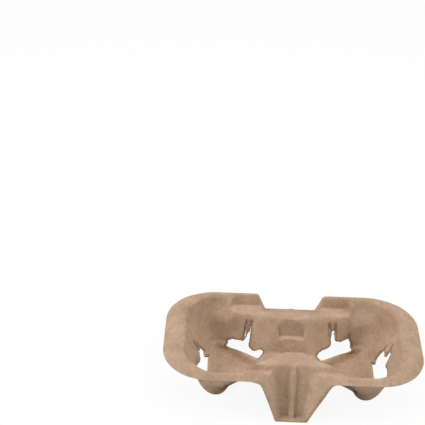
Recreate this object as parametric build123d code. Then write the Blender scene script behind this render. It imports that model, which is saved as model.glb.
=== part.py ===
from build123d import *
import math
import os

# Two-cup carrier tray, moulded as one sheet of paper pulp.
# X runs along the length, Y from the carrying chute (front) to the notch (back), Z up from the feet.
# Every hollow is built twice, as seen from above and grown by the wall; the sheet is what lies between.

# Sheet: wall, draft of the walls that it is measured across, and how far cutters run past what they cut
wall = 2.0
wall_draft = 20.0
overrun = 1.0

# Rim: outline at the skirt's edge, rounded crest above it
tray_length = 215.0
tray_width = 112.0
corner_radius = 37.5
crest_height = 48.0
skirt_drop = 5.0
skirt_run_ends = 9.5
skirt_run_sides = 4.0
crest_radius = 2.6
skirt_strip = 4.4
skirt_fall = 0.48
crest_shift_ends = 0.25
crest_shift_sides = 0.35

# Pockets: two cups, mirrored in the tray's middle plane. Reaches are distances from the pocket's axis.
pocket_spacing = 100.0
pocket_offset = 2.5
foot_height = 8.0
floor_reach = 15.2
front_reach = 12.4
sill_reach = 19.9
facet_reach = 22.0
foot_reach = 31.0
lobe_reach = 33.5
floor_turn = 53.0
floor_round = 6.0
floor_bevel = 1.2
floor_bevel_height = 1.4
sill_height = 11.0
sill_blunting = 1.6
front_facet_reach = 17.5
foot_round = 9.0
low_height = 20.0
low_round = 16.0
low_middle_reach = 40.0
middle_round = 22.0
middle_back_reach = 34.6
middle_front_reach = 38.0
middle_reach = 47.0
upper_round = 26.0
upper_front_reach = 42.6
upper_reach = 49.0
corner_start = -1.0
corner_low_back = 29.0
corner_middle_back = 43.0
toe_profile = (
    (0.0, 4.8, -12.9, -23.0),
    (1.2, 6.8, -12.9, -22.1),
    (5.0, 10.0, -13.2, -19.9),
    (16.0, 13.6, -13.8, -17.5),
)
lead_in_height = 2.4
lead_in_run = 6.0
inner_length = 180.0
inner_width = 98.6
inner_radius = 31.0

# Divider between the pockets
saddle_height = 8.0
saddle_back = 20.0
saddle_front = 15.0
divider_draft = 9.0
divider_reach = 26.0
flank_front_low = 8.0
flank_front_high = 29.5
flank_back_low = 15.5
flank_back_high = 36.0
flank_middle_high = 31.0
stair_width = 21.0
stair_depth = 2.6
stair_height = 20.5
stair_tread = 7.6
stair_rise_run = 0.8

# Shoulder behind the divider and notch in the back rim
shoulder_height = 37.4
shoulder_length = 108.0
shoulder_back = 49.6
shoulder_depth = 30.0
shoulder_round = 9.0
shoulder_lean = 1.3
notch_width = 43.0
notch_flare = 26.0
notch_roll_start = 45.5
notch_roll_run = 5.0
notch_roll_drop = 3.2
notch_start = 36.6
notch_lip_height = 30.5

# Mound at the front, with the shallow groove behind the front rim
mound_height = 46.6
mound_edge = 39.0
mound_back = 23.0
mound_rise = 1.0
groove_depth = 5.2
groove_half = 47.0
groove_step = 1.6
groove_run = 3.2

# Carrying chute
chute_floor_width = 21.0
chute_top_width = 35.0
chute_back_top = 39.5
chute_back_bottom = 52.0
chute_flare_left = 20.5
chute_flare_right = 27.0
lip_width = 25.0
rib_width = 5.0
rib_depth = 2.4
rib_taper = 0.7

# Torn flaps: windows pressed through the three flat facets of each pocket
window_length = 34.0
window_height = 10.0
window_sill = 19.4
window_reach = 26.0
slit_width = 1.0

# Share of a side that its two corners may take up
side_share = 0.96

half_width = tray_width / 2
rim_base = crest_height - skirt_drop
pocket_x = pocket_spacing / 2


def ring(height, sides, grow=0.0):
    """Closed outline at one height; a side is (direction, distance from the pocket's axis, corner radius)."""
    count = len(sides)
    lines = [(math.cos(math.radians(a)), math.sin(math.radians(a)), d + grow) for a, d, r in sides]
    corners = []
    for i in range(count):
        (ax, ay, ad), (bx, by, bd) = lines[i], lines[(i + 1) % count]
        cross = ax * by - ay * bx
        corners.append(((ad * by - bd * ay) / cross, (ax * bd - bx * ad) / cross))
    cuts = []
    for i in range(count):
        turn = math.radians((sides[(i + 1) % count][0] - sides[i][0]) % 360)
        cuts.append((sides[i][2] + grow) * math.tan(turn / 2))
    edges = []
    ends = []
    for i in range(count):
        start, stop = corners[i - 1], corners[i]
        length = math.dist(start, stop)
        ux, uy = (stop[0] - start[0]) / length, (stop[1] - start[1]) / length
        used = cuts[i - 1] + cuts[i]
        share = min(1.0, side_share * length / used)
        ends.append((start, stop, (ux, uy), length, share))
    shares = [min(ends[i][4], ends[(i + 1) % count][4]) for i in range(count)]
    points = []
    for i in range(count):
        start, stop, (ux, uy), length, _ = ends[i]
        a, b = cuts[i - 1] * shares[i - 1], cuts[i] * shares[i]
        points.append(((start[0] + ux * a, start[1] + uy * a, height),
                       (stop[0] - ux * b, stop[1] - uy * b, height), (ux, uy, 0)))
    for i in range(count):
        near, far, way = points[i]
        edges.append(Edge.make_line(near, far))
        edges.append(Edge.make_tangent_arc(far, way, points[(i + 1) % count][0]))
    return Wire(edges)


def stack(sections, grow):
    """Straight walls between rings; each section is (height, sides)."""
    return Solid.make_loft([ring(z, sides, grow) for z, sides in sections], ruled=True)


def polygon(points, height):
    return Wire.make_polygon([(x, y, height) for x, y in points])


def prism_y(points, start, stop):
    """Outline in X and Z carried along Y."""
    face = Face(Wire.make_polygon([(x, start, z) for x, z in points]))
    return Solid.extrude(face, Vector(0, stop - start, 0))


def prism_x(points, start, stop):
    """Outline in Y and Z carried along X."""
    face = Face(Wire.make_polygon([(start, y, z) for y, z in points]))
    return Solid.extrude(face, Vector(stop - start, 0, 0))


def rounded_slab(length, width, radius, low, high):
    face = make_face(RectangleRounded(length, width, radius).wire().moved(Location((0, 0, low))))
    return Solid.extrude(face.face(), Vector(0, 0, high - low))


def rim_body(inset):
    """Solid under the rim, from the outline up over the skirt to the crest."""
    base = rim_base - skirt_fall * inset
    top = crest_height - inset
    long_low, wide_low = tray_length - 2 * inset, tray_width - 2 * inset
    long_top = tray_length - 2 * (skirt_run_ends + crest_shift_ends * inset)
    wide_top = tray_width - 2 * (skirt_run_sides + crest_shift_sides * inset)
    low = RectangleRounded(long_low, wide_low, corner_radius - inset).wire().moved(Location((0, 0, base)))
    high = RectangleRounded(long_top, wide_top, corner_radius - skirt_run_sides).wire()
    cap = Solid.make_loft([low, high.moved(Location((0, 0, top)))], ruled=True)
    crown = [e for e in cap.edges() if e.center().Z > top - 0.1]
    cap = cap.fillet(crest_radius, crown)
    block = rounded_slab(long_low, wide_low, corner_radius - inset, -2 * foot_height, base)
    return block + cap


def pocket(grow, drop):
    """Left pocket, about its own axis: three flat facets, three lobes, and a stepped lobed floor."""
    top = crest_height
    inner_x = inner_length / 2 - pocket_x
    inner_back = inner_width / 2 - pocket_offset
    inner_front = inner_width / 2 + pocket_offset
    bevel = inner_radius * (math.sqrt(2) - 1)
    corner_back = (inner_x + inner_back - bevel * math.sqrt(2)) / math.sqrt(2)
    corner_front = (inner_x + inner_front - bevel * math.sqrt(2)) / math.sqrt(2)
    lean = (inner_x - facet_reach) / (crest_height - lead_in_height - foot_height)

    def facet(z):
        return facet_reach + lean * (z - foot_height)

    def lobe(z, at_top):
        share = (z - foot_height) / (crest_height - lead_in_height - foot_height)
        return lobe_reach + share * (at_top - lobe_reach)

    def floor_ring(reach, front, lobes, front_lobe, radius):
        tip = (reach + front) / 2 / math.cos(math.radians(floor_turn)) - sill_blunting
        return [(0, tip, radius), (floor_turn, reach, radius), (60 + floor_turn, lobes, radius),
                (180, reach, radius), (300 - floor_turn, front_lobe, radius),
                (360 - floor_turn, front, radius)]

    sill = [
        (wall - drop, floor_ring(floor_reach - floor_bevel, front_reach - floor_bevel, foot_reach - 1.5,
                                 foot_reach - 4.6, floor_round)),
        (wall + floor_bevel_height - drop, floor_ring(floor_reach, front_reach, foot_reach, foot_reach - 2.2,
                                                      floor_round + 0.5)),
        (sill_height, floor_ring(sill_reach, sill_reach - 0.8, foot_reach + 2, foot_reach + 2,
                                 floor_round + 1)),
    ]
    toe = [Wire.make_circle(r + grow, Plane((x, y, wall + z - drop))) for z, r, x, y in toe_profile]
    land = foot_height - drop
    inner_top = crest_height - lead_in_height
    middle, low = shoulder_height, low_height
    walls = [
        (land, [(0, lobe_reach, foot_round), (60, facet_reach, foot_round), (120, lobe_reach, foot_round),
                (180, facet_reach, foot_round), (240, lobe_reach, foot_round),
                (270, lobe_reach - 5, foot_round - 1), (302, front_facet_reach, foot_round)]),
        (low, [(0, low_middle_reach, 10), (68, facet(low) + 1, 12), (120, lobe(low, corner_back), low_round),
               (180, facet(low), low_round), (238, lobe(low, corner_front), low_round),
               (270, lobe(low, inner_front) - 1, 14), (303, facet(low), 14)]),
        (middle, [(0, middle_reach, 8), (84, middle_back_reach, low_round),
                  (128, lobe(middle, corner_back), middle_round), (180, facet(middle), middle_round),
                  (232, lobe(middle, corner_front), middle_round), (270, lobe(middle, inner_front), 20),
                  (306, middle_front_reach, 14)]),
        (inner_top, [(0, upper_reach, 6), (90, inner_back, upper_round - 2), (135, corner_back, upper_round),
                     (180, inner_x, upper_round), (225, corner_front, upper_round),
                     (270, inner_front, middle_round), (308, upper_front_reach, 14)]),
        (top + 0.6, [(0, upper_reach + 2, 6), (90, inner_back + 2, upper_round - 2),
                     (135, corner_back + lead_in_run, upper_round),
                     (180, inner_x + lead_in_run + 1.5, upper_round),
                     (225, corner_front + lead_in_run, upper_round), (270, inner_front + 2, middle_round),
                     (308, upper_front_reach + 2.2, 14)]),
    ]
    corner = []
    for z, back, bevel_reach, end in (
        (low, corner_low_back, lobe(low, corner_back), facet(low)),
        (middle, corner_middle_back, lobe(middle, corner_back), facet(middle)),
        (inner_top, inner_back - 0.3, corner_back, inner_x),
        (top + 0.6, inner_back + 1.7, corner_back + lead_in_run, inner_x + lead_in_run + 1.5),
    ):
        corner.append((z, [(0, corner_start, 3), (90, back, 10), (135, bevel_reach - 0.4, middle_round),
                           (180, end - 0.6, middle_round), (270, 0, 3)]))
    return stack(walls, grow) + stack(corner, grow) + stack(sill, grow) + Solid.make_loft(toe, ruled=True)


def divider_opening(grow, drop):
    """Open space between the pockets, over the saddle, with the two-step stair at its back."""
    slope = math.tan(math.radians(divider_draft))
    half = stair_width / 2
    top = crest_height + overrun
    reach = divider_reach
    front = saddle_front + slope * (top - saddle_height)
    low = [(-reach, -flank_front_low - grow), (1 - half, -saddle_front - grow),
           (half - 1, -saddle_front - grow), (reach, -flank_front_low - grow),
           (reach, flank_back_low + grow), (half + 2, saddle_back + grow),
           (-half - 2, saddle_back + grow), (-reach, flank_back_low + grow)]
    high = [(-reach, -flank_front_high - grow), (1 - half, -front - grow),
            (half - 1, -front - grow), (reach, -flank_front_high - grow),
            (reach, flank_back_high + grow), (half + 5, flank_middle_high + grow),
            (-half - 5, flank_middle_high + grow), (-reach, flank_back_high + grow)]
    space = Solid.make_loft([polygon(low, saddle_height - drop), polygon(high, top)], ruled=True)
    panel = saddle_back + stair_depth
    tread = stair_height - drop
    treads = panel + stair_tread
    steps = [(0, saddle_height - drop), (panel - stair_rise_run + grow, saddle_height - drop),
             (panel + grow, tread), (treads + grow, tread), (treads + stair_rise_run + grow, top), (0, top)]
    return space + prism_x(steps, -half - grow, half + grow)


def shoulder(grow, drop):
    """Flat ledge behind the divider, at the foot of the back rim's steep inner wall."""
    floor = shoulder_height - drop
    long = shoulder_length + 2 * grow
    back = shoulder_back + grow
    low = RectangleRounded(long, shoulder_depth, shoulder_round).wire()
    high = RectangleRounded(long + 5, shoulder_depth + 2, shoulder_round + 1).wire()
    low = low.moved(Location((0, back - shoulder_depth / 2, floor)))
    high = high.moved(Location((0, back + shoulder_lean - shoulder_depth / 2, crest_height + overrun)))
    return Solid.make_loft([low, high], ruled=True)


def notch(grow, drop):
    """Wide notch that lowers the back rim, its floor rolling down to the outline."""
    low = notch_lip_height - 4
    top = crest_height + overrun
    slope = math.tan(math.radians(notch_flare))
    half_low = notch_width / 2 + grow - (shoulder_height - low) * slope
    half_high = notch_width / 2 + grow + (top - shoulder_height) * slope
    mouth = prism_y([(-half_low, low), (half_low, low), (half_high, top), (-half_high, top)],
                    notch_start + overrun, half_width + 3 * overrun)
    past = half_width + 4 * overrun
    floor = [(notch_start, shoulder_height - drop), (notch_roll_start, shoulder_height - 0.4 - drop),
             (notch_roll_start + notch_roll_run, shoulder_height - notch_roll_drop - drop),
             (half_width, notch_lip_height - drop), (past, notch_lip_height - 3 * overrun - drop),
             (past, top + overrun), (notch_start, top + overrun)]
    return mouth & prism_x(floor, -half_high - 2, half_high + 2)


def groove(grow, drop):
    """Shallow trough that parts the mound from the front rim, open above."""
    edge = mound_edge - grow * 0.4
    floor = mound_height - groove_depth - drop
    rim_edge = inner_width / 2 + grow
    profile = [(-mound_back, mound_height + mound_rise - drop), (-edge, mound_height - drop),
               (-edge - groove_step, floor), (groove_run - rim_edge, floor),
               (-rim_edge, crest_height - lead_in_height), (-rim_edge - 2, crest_height + overrun),
               (-mound_back, crest_height + 3 * overrun)]
    return prism_x(profile, -groove_half, groove_half)


def chute(grow, drop):
    """Channel that is open to the front, for the fingers: leaning back wall and flared sides."""
    top = crest_height + overrun
    bottom = wall - drop
    open_front = half_width + 4 * overrun
    lean = (chute_back_bottom - chute_back_top) / (mound_height - wall)
    back_low = chute_back_bottom - grow
    back_high = chute_back_bottom - lean * (top - bottom) - grow
    left, right = (math.tan(math.radians(a)) * (top - bottom) for a in (chute_flare_left, chute_flare_right))
    low_back, high_back = chute_floor_width / 2 + grow, chute_top_width / 2 + grow
    low_front = lip_width / 2 - 0.6 * wall + grow
    low = [(-low_front, -open_front), (low_front, -open_front), (low_back, -back_low), (-low_back, -back_low)]
    high = [(-low_front - left, -open_front), (low_front + right, -open_front), (high_back, -back_high),
            (-high_back, -back_high)]
    return Solid.make_loft([polygon(low, bottom), polygon(high, top)], ruled=True)


def chute_rib():
    """Narrow upright rib down the middle of the chute's back wall."""
    lean = (chute_back_bottom - chute_back_top) / (mound_height - wall)
    top = mound_height - 0.4
    bottom = wall - 0.5
    back_low = chute_back_bottom - overrun
    back_high = back_low - lean * (top - bottom)
    half, face = rib_width / 2, rib_width / 2 - rib_taper
    rings = []
    for back, height in ((back_low, bottom), (back_high, top)):
        front = back + overrun + rib_depth
        rings.append(polygon([(-half, -back), (half, -back), (face, -front), (-face, -front)], height))
    return Solid.make_loft(rings, ruled=True)


def hollow(grow, drop):
    """All the open space above the sheet."""
    left = pocket(grow, drop).moved(Location((-pocket_x, pocket_offset, 0)))
    right = left.mirror(Plane.YZ)
    space = left + right + divider_opening(grow, drop) + shoulder(grow, drop)
    return space + notch(grow, drop) + groove(grow, drop) + chute(grow, drop)


steep = wall / math.cos(math.radians(wall_draft))
above = hollow(0, 0) - chute_rib()
below = hollow(steep, wall)
sheet = (rim_body(0) - above) - (rim_body(wall) - below)

# The skirt ends at its lower edge, all round but for the chute's sides and the notch's lip.
outer = rounded_slab(tray_length + 20, tray_width + 20, corner_radius + 10,
                     -2 * foot_height - overrun, rim_base)
core = rounded_slab(tray_length - 2 * skirt_strip, tray_width - 2 * skirt_strip, corner_radius - skirt_strip,
                    -2 * foot_height - 2 * overrun, rim_base + overrun)
strip = outer - core - chute(steep, wall) - notch(steep, wall)
tray = sheet - strip

# Torn outlines in a facet's own plane, as shares of the half length and of the height above the sill.
back_left = [(1.02, 0.1), (0.8, 0.52), (0.5, 0.57), (0.26, 0.62), (0.2, 0.95), (0.14, 1.4), (0.04, 1.45),
             (-0.05, 1.05), (-0.12, 0.4), (-0.33, 0.25), (-0.62, 0.24), (-0.77, 0.4), (-0.97, 0.28)]
back_right = [(1.04, 0.33), (0.97, 0.78), (0.8, 0.95), (0.47, 0.77), (0.24, 0.88), (0.22, 1.45), (0.14, 1.83),
              (0.02, 1.55), (-0.04, 1.15), (-0.16, 0.65), (-0.49, 0.48), (-0.81, 0.3), (-0.97, 0.04)]
outer_left = [(0.66, 0.05), (1.08, 0.95), (1.1, 1.3), (0.6, 1.06), (0.24, 1.3), (0.05, 1.25), (0.0, 1.4),
              (-0.1, 1.4), (-0.14, 1.1), (-0.3, 0.9), (-0.38, 0.4)]
outer_right = [(0.74, 0.1), (1.3, 1.0), (1.2, 1.4), (0.95, 1.5), (0.56, 1.45), (0.42, 1.8), (0.32, 1.8),
               (0.16, 1.4), (-0.1, 1.5), (-0.34, 1.6), (-0.63, 1.3), (-0.73, 0.4)]
slits = {
    "back_left": [((0.22, 0.8), (0.32, 2.3)), ((0.02, 1.3), (0.08, 2.3))],
    "back_right": [((-0.02, 1.2), (0.12, 2.4)), ((0.22, 1.2), (0.34, 2.4))],
    "outer_left": [((-0.04, 1.2), (-0.23, 2.4)), ((-0.33, 0.6), (-0.44, 1.6))],
    "outer_right": [((0.37, 1.7), (0.14, 2.5)), ((-0.3, 1.5), (-0.36, 2.2))],
}


def opening(outline, tears, turn):
    """Cutter for one window and its upright tears, through the facet that faces the given direction."""
    half = window_length / 2
    base = foot_height - wall - overrun

    def place(along, up):
        return (window_sill, along * half, foot_height + up * window_height)

    ends = [(window_sill, outline[-1][0] * half, base), (window_sill, outline[0][0] * half, base)]
    reach = Vector(window_reach, 0, 0)
    cut = Solid.extrude(Face(Wire.make_polygon([place(u, z) for u, z in outline] + ends)), reach)
    for (low_u, low_z), (high_u, high_z) in tears:
        gap = slit_width / window_length
        corners = [(low_u - gap, low_z), (low_u + gap, low_z), (high_u + gap / 2, high_z),
                   (high_u - gap / 2, high_z)]
        cut = cut + Solid.extrude(Face(Wire.make_polygon([place(u, z) for u, z in corners])), reach)
    return cut.rotate(Axis.Z, turn)


windows = [
    (-1, 60, False, back_left, slits["back_left"]),
    (-1, 180, False, outer_left, slits["outer_left"]),
    (-1, 300, True, back_left, slits["back_left"]),
    (1, 120, True, back_right, slits["back_right"]),
    (1, 0, True, outer_right, slits["outer_right"]),
    (1, 240, False, back_right, slits["back_right"]),
]
for side, turn, mirrored, outline, tears in windows:
    if mirrored:
        outline = [(-u, z) for u, z in reversed(outline)]
        tears = [((-a[0], a[1]), (-b[0], b[1])) for a, b in tears]
    cut = opening(outline, tears, turn).moved(Location((side * pocket_x, pocket_offset, 0)))
    tray = tray - cut

solids = sorted(tray.solids(), key=lambda s: s.volume)
print("solids", [round(s.volume, 1) for s in solids])
body = solids[-1]
box = body.bounding_box()
print("box", box.min, box.max, "faces", len(body.faces()), "valid", body.is_valid)

os.makedirs("parts", exist_ok=True)
export_step(body, "parts/pulp_tray.step")
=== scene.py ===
"""Looks of a two-cup carrier tray, moulded as one sheet of paper pulp.

The sheet is worked out with numpy as two height surfaces over one grid: the face seen from above and the
underside. Each surface is the lowest of the rim and of the hollows pressed into it, blended so that every
fold is round, as pulp folds are. Its lengths are millimetres, and turn into metres where a mesh is made.
"""

from __future__ import annotations

import logging
import math
from dataclasses import dataclass
from enum import Enum

import bpy
import numpy as np
from mathutils import Matrix, Vector

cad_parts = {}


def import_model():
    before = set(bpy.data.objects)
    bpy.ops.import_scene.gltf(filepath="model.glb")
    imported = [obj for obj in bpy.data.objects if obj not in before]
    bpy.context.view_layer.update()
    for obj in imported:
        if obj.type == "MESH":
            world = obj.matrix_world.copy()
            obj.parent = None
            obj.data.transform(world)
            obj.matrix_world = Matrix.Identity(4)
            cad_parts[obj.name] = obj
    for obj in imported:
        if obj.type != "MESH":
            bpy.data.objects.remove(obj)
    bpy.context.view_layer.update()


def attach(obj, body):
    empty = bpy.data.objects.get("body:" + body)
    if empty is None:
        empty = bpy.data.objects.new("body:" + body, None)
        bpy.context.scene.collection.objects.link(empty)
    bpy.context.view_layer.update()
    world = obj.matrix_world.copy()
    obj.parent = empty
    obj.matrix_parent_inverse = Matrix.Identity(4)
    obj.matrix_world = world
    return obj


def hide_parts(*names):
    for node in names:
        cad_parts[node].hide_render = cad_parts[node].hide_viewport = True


LOG = logging.getLogger("tray")
MM = 0.001
NODE = "pulp_tray"
BODY = "root"

Array = np.ndarray
Row = tuple[float, ...]
Pair = tuple[float, float]
Triple = tuple[float, float, float]
Quad = tuple[float, float, float, float]
Sides = tuple[tuple[Triple, ...], ...]
Ring = tuple[Array, Array]
Socket = bpy.types.NodeSocket


class Face(Enum):
    """The two faces of the sheet."""

    UPPER = "upper"
    UNDER = "under"


class Ray(Enum):
    """Light Path outputs that a white backdrop answers to."""

    CAMERA = "Is Camera Ray"
    GLOSSY = "Is Glossy Ray"
    TRANSMISSION = "Is Transmission Ray"


# Blending of surfaces

LEAST_FOLD = 0.5
LEAST_SPAN = 0.03
MOST_STEPS = 40.0
CLIFF = 25.0


@dataclass(frozen=True)
class Plan:
    """Points in plan, and how far the face being made lies outside and below the upper face."""

    x: Array
    y: Array
    grow: float = 0.0
    drop: float = 0.0

    def level(self, height: float) -> Array:
        """A level surface, given by its height on the upper face."""
        return np.full_like(self.x, height - self.drop)


def smooth_max(a: Array, b: Array, fold: float | Array) -> Array:
    """The larger of two fields, with a round valley of the given width where they meet.

    Args:
        a: First field.
        b: Second field.
        fold: Width of the rounding, in the fields' own unit.

    Returns:
        max(a, b) plus a parabola that is fold / 4 high where the two are equal.
    """
    return np.maximum(a, b) + np.maximum(fold - np.abs(a - b), 0.0) ** 2 / (4.0 * fold)


def smooth_min(a: Array, b: Array, fold: float | Array) -> Array:
    """The smaller of two fields, with a round ridge of the given width where they meet."""
    return -smooth_max(-a, -b, fold)


def ring_distance(x: Array, y: Array, sides: Array, grow: float) -> Array:
    """Distance outside a rounded convex outline, negative inside it.

    Each side is a half-plane n . p - d, and the outline is their smooth maximum. A corner that turns by the
    angle t with the radius r is met by a rounding width of 4 r (1 - cos(t / 2)).

    Args:
        x: Points' first coordinate.
        y: Points' second coordinate.
        sides: Rows of direction in degrees, distance from the axis, and corner radius.
        grow: Outward offset of every side.

    Returns:
        The distance field at the points.
    """
    total: Array | None = None
    last = sides[-1]
    for side in sides:
        angle, reach, radius = side
        turn = math.radians((angle - last[0]) % 360.0)
        plane = x * math.cos(math.radians(angle)) + y * math.sin(math.radians(angle)) - reach - grow
        fold = max(LEAST_FOLD, 4.0 * (radius + grow) * (1.0 - math.cos(turn / 2.0)))
        total = plane if total is None else smooth_max(total, plane, fold)
        last = side
    return total


def rounded_rectangle(x: Array, y: Array, half_x: float, half_y: float, radius: float) -> Array:
    """Distance outside a rectangle with round corners: the part beyond the inner box, less the radius."""
    qx, qy = np.abs(x) - half_x + radius, np.abs(y) - half_y + radius
    beyond = np.hypot(np.maximum(qx, 0.0), np.maximum(qy, 0.0))
    return beyond + np.minimum(np.maximum(qx, qy), 0.0) - radius


def climb(levels: Array, distances: Array) -> Array:
    """Height of the wall of a hollow whose outline widens with height.

    A point is on the wall at the height where the outline's distance field passes through zero there, found
    by straight interpolation between levels. Beyond the first and last level the wall keeps its own slope.

    Args:
        levels: Heights, rising.
        distances: One distance field per level, stacked along the first axis.

    Returns:
        The wall's height over every point.
    """
    inside = distances <= 0.0
    found = inside.any(axis=0)
    first = np.clip(np.where(found, inside.argmax(axis=0), len(levels) - 1), 1, len(levels) - 1)
    pick = first[None]
    upper = np.take_along_axis(distances, pick, axis=0)[0]
    lower = np.take_along_axis(distances, pick - 1, axis=0)[0]
    span = np.maximum(lower - upper, LEAST_SPAN)
    step = levels[first] - levels[first - 1]
    return levels[first - 1] + step * np.clip(lower / span, -MOST_STEPS, MOST_STEPS)


def cliff(wall: Array, top: float) -> Array:
    """The wall made far steeper above its top, so that a low hollow cuts nothing higher up."""
    return wall + CLIFF * np.maximum(wall - top, 0.0)


# Surface noise

LATTICE_PRIMES = (73856093, 19349663, 83492791)
LATTICE_SIZE = 4096


@dataclass(frozen=True)
class Grain:
    """Value noise on a cubic lattice, smooth between the lattice's seeded random numbers."""

    size: float
    seed: int

    def at(self, points: Array) -> Array:
        """Noise between -1 and 1: the corner numbers of a point's cell, weighted by smoothstep of its place.

        Args:
            points: Points as rows, in millimetres.

        Returns:
            One number per point.
        """
        table = np.random.default_rng(self.seed).uniform(-1.0, 1.0, LATTICE_SIZE)
        cell = np.floor(points / self.size)
        part = points / self.size - cell
        part = part * part * (3.0 - 2.0 * part)
        cell = cell.astype(np.int64)
        total = np.zeros(len(points))
        for corner in np.ndindex(2, 2, 2):
            shift = np.array(corner)
            key = (cell + shift) @ np.array(LATTICE_PRIMES)
            weight = np.prod(np.where(shift == 1, part, 1.0 - part), axis=1)
            total += weight * table[key & (LATTICE_SIZE - 1)]
        return total


# Forms of the sheet


@dataclass(frozen=True)
class Rim:
    """Outline of the tray and the slanted skirt that rises from it to the crest.

    On the underside the edge drops, and the crest line's ends and sides draw in, by shares of the wall.
    """

    half_length: float = 107.5
    half_width: float = 56.0
    corner: float = 37.5
    crest: float = 48.0
    drop: float = 5.0
    run_ends: float = 9.5
    run_sides: float = 4.0
    round_crest: float = 2.0
    edge_share: float = 0.48
    end_share: float = 0.25
    side_share: float = 0.35
    least_run: float = 1.0

    def half_width_at(self, x: Array) -> Array:
        """Half the outline's width over x: straight, then the corner's arc."""
        beyond = np.maximum(np.abs(x) - (self.half_length - self.corner), 0.0)
        arc = np.sqrt(np.maximum(self.corner**2 - beyond**2, 0.0))
        return self.half_width - self.corner + arc

    def height(self, plan: Plan) -> Array:
        """Height of the rim's slant and crest, linear between the distance fields of outline and crest line.

        Args:
            plan: Points; the underside is drawn in by as much as it lies lower, or by its shares of that.

        Returns:
            The rim's height over every point, level at the crest in the middle of the tray.
        """
        inset = plan.drop
        low = rounded_rectangle(plan.x, plan.y, self.half_length - inset, self.half_width - inset,
                                self.corner - inset)
        high = rounded_rectangle(plan.x, plan.y, self.half_length - self.run_ends - self.end_share * inset,
                                 self.half_width - self.run_sides - self.side_share * inset,
                                 self.corner - self.run_sides)
        base = self.crest - self.drop - self.edge_share * inset
        top = self.crest - inset
        slant = base + (top - base) * -low / np.maximum(high - low, self.least_run)
        return smooth_min(slant, np.full_like(slant, top), self.round_crest)


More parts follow.
